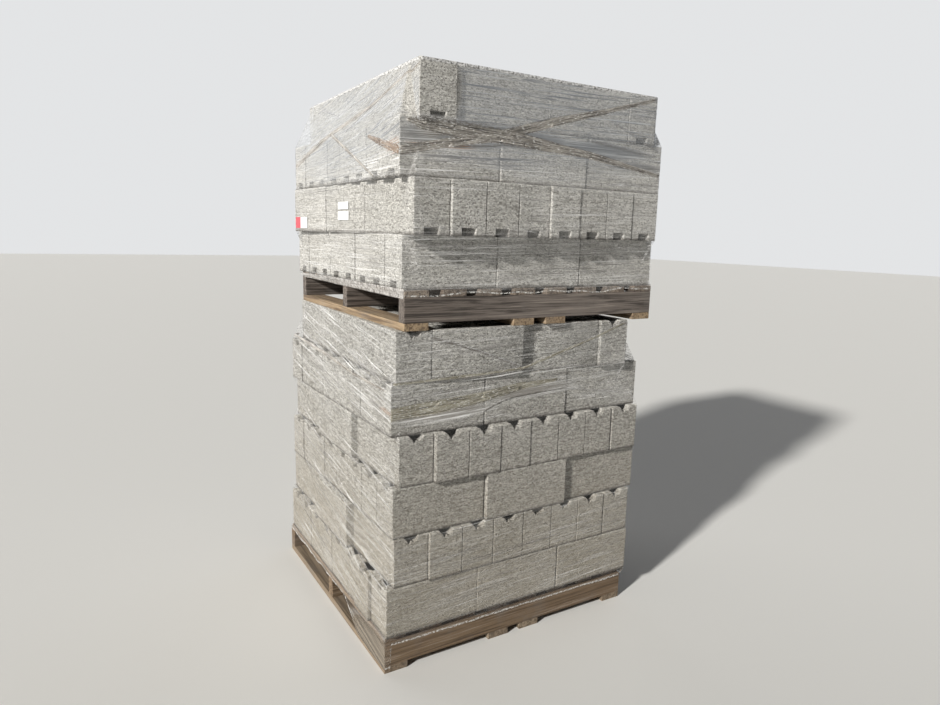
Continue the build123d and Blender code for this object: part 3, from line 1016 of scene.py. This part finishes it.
# Each band has its look, the height and number of its pleats, its side and its route
upper_bands = {
    "upper_band_falling": (upper_gathered, 0.0024, 8, "front", (
        (-0.560, 1.986, 0.010), (-0.500, 1.974, 0.034), (-0.382, 1.966, 0.052), (-0.195, 1.962, 0.056),
        (-0.090, 1.957, 0.050), (0.219, 1.930, 0.032), (0.590, 1.879, 0.014))),
    "upper_band_rising": (upper_gathered, 0.0022, 6, "front", (
        (-0.600, 1.882, 0.034), (-0.399, 1.925, 0.034), (-0.219, 1.960, 0.040), (0.019, 2.031, 0.036),
        (0.282, 2.099, 0.022), (0.570, 2.180, 0.012))),
    "upper_band_rust": (rust_gathered, 0.0022, 5, "left", (
        (-0.320, 1.957, 0.010), (-0.420, 1.928, 0.026), (-0.600, 1.882, 0.034))),
    "upper_band_left": (left_gathered, 0.0022, 4, "left", (
        (-0.600, 2.165, 0.010), (-0.258, 2.070, 0.020), (0.081, 2.008, 0.028), (0.574, 1.907, 0.022))),
    "upper_band_left_down": (left_gathered, 0.0018, 3, "left", (
        (0.081, 2.008, 0.018), (-0.159, 1.906, 0.014), (-0.368, 1.816, 0.008))),
    "upper_band_foot": (ribbed, 0.0035, 4, "left", (
        (0.560, 1.408, 0.022), (0.200, 1.412, 0.034), (-0.560, 1.412, 0.040))),
    "upper_band_rim_front": (crinkled, 0.0014, 2, "front", ((-0.545, 2.179, 0.012), (0.575, 2.179, 0.010))),
    "upper_band_rim_left": (crinkled, 0.0014, 2, "left", ((-0.590, 2.179, 0.012), (0.540, 2.179, 0.010))),
}
lower_bands = {
    "lower_band_rising": (lower_gathered, 0.0020, 6, "front", (
        (-0.600, 0.984, 0.054), (-0.409, 0.997, 0.060), (-0.212, 1.014, 0.050), (-0.043, 1.040, 0.034),
        (0.140, 1.052, 0.016))),
    "lower_band_thin": (lower_gathered, 0.0014, 2, "front", (
        (-0.587, 1.095, 0.010), (-0.217, 1.106, 0.012), (-0.043, 1.115, 0.012), (0.316, 1.217, 0.010),
        (0.479, 1.272, 0.008))),
    "lower_band_left": (left_gathered, 0.0016, 3, "left", (
        (0.600, 1.115, 0.010), (0.141, 1.098, 0.016), (-0.206, 1.070, 0.014), (-0.499, 1.064, 0.010))),
}


# Bare labels
label_clearance = 0.0022


def label_material(name, colour):
    material, tree, shader = new_material(name, 0.45)
    shader.inputs["Base Color"].default_value = (*colour, 1)
    return material


def make_label(name, near, far, low, high, shades):
    """A blank stick-on label on the left side of the upper load, in one colour or in two halves."""
    bm = bmesh.new()
    bmesh.ops.create_grid(bm, x_segments=8, y_segments=4, size=1)
    for vertex in bm.verts:
        along = near + (far - near) * (vertex.co.x + 1) / 2
        height = low + (high - low) * (vertex.co.y + 1) / 2
        vertex.co = upper_wrap.on_side("left", along, height, label_clearance)
    for face in bm.faces:
        face.material_index = int(len(shades) > 1 and face.calc_center_median().y > (near + far) / 2)
    if sum(face.normal.x for face in bm.faces) > 0:
        bmesh.ops.reverse_faces(bm, faces=bm.faces)
    label = new_piece(name, bm, label_thickness)
    for shade in shades:
        label.data.materials.append(shade)
    return label


white_label = label_material("white_label", (0.86, 0.87, 0.88))
red_label = label_material("red_label", (0.62, 0.06, 0.09))
labels = [
    make_label("middle_label_top", near=-0.085, far=0.020, low=1.706, high=1.736, shades=[white_label]),
    make_label("middle_label_foot", near=-0.088, far=0.022, low=1.664, high=1.699, shades=[white_label]),
    make_label("back_label", near=0.387, far=0.567, low=1.629, high=1.679, shades=[white_label, red_label]),
]


# The film round each load, with its bands and what is stuck on it
def wrap_load(load, wrap, hem_of, look, bands, stuck_on, lap):
    skin = film_skin(f"{load}_skin", wrap, hem_of, lap)
    skin.data.materials.append(look)
    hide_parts(f"{load}_film")
    added = list(stuck_on)
    for name, (gathered_look, height, pleats, side, route) in bands.items():
        band = gathered_band(name, wrap, side, route, height, pleats)
        band.data.materials.append(gathered_look)
        added.append(band)
    for piece in [skin] + added:
        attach(piece, "root")


wrap_load("upper", upper_wrap, upper_hem, upper_film_look, upper_bands, labels, lap=True)
wrap_load("lower", lower_wrap, lower_hem, lower_film_look, lower_bands, [], lap=False)


# Floor
floor_reach = 40


def make_floor():
    bm = bmesh.new()
    bmesh.ops.create_grid(bm, x_segments=1, y_segments=1, size=floor_reach)
    floor = new_piece("floor", bm)
    material, tree, shader = new_material("pale_floor", 0.9)
    shader.inputs["Base Color"].default_value = (0.78, 0.78, 0.77, 1)
    floor.data.materials.append(material)


make_floor()
